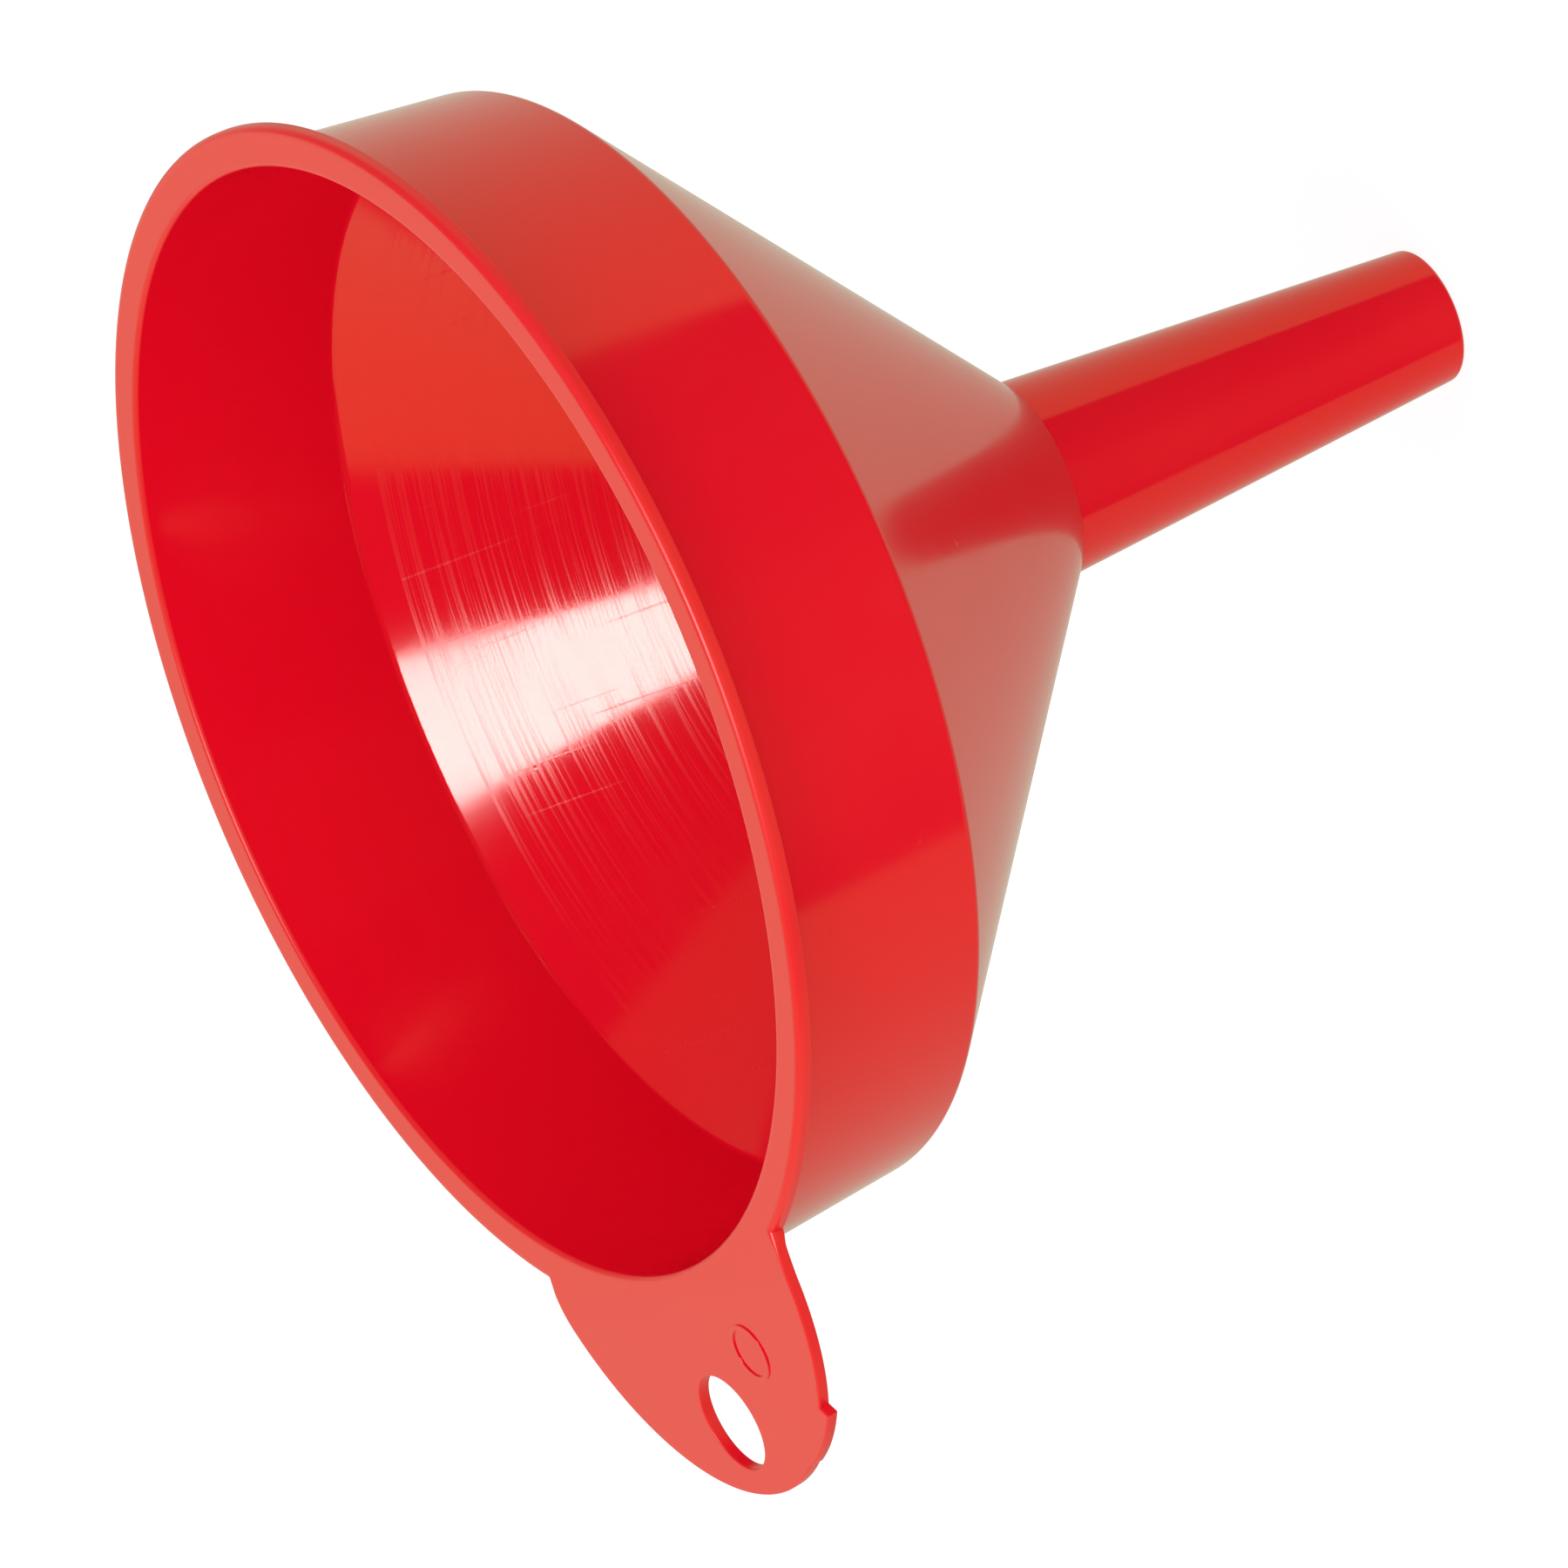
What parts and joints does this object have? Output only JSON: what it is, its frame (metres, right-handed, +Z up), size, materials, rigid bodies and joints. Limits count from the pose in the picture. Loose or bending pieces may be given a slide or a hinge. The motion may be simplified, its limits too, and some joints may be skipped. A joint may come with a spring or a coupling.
{
  "type": "funnel",
  "caption": "Moulded plastic kitchen funnel with a wide mouth, a short skirt, a straight cone, a tapered spout and a drooping tab with a hanging hole.",
  "frame": {"origin": "centre of the open tip of the spout, in the plane of the tip", "axes": "+Z up the funnel's axis and out of its mouth, -X towards the hanging tab"},
  "size_m": [0.1393, 0.12, 0.112],
  "materials": {
    "moulding": "glossy red moulded plastic with fine turning marks inside the cone"
  },
  "bodies": {
    "root": {"rim_flange": "moulding", "hang_tab": "moulding", "gate_stub": "moulding", "skirt_wall": "moulding", "cone_wall": "moulding", "neck_ring": "moulding", "spout_tube": "moulding"}
  },
  "joints": []
}
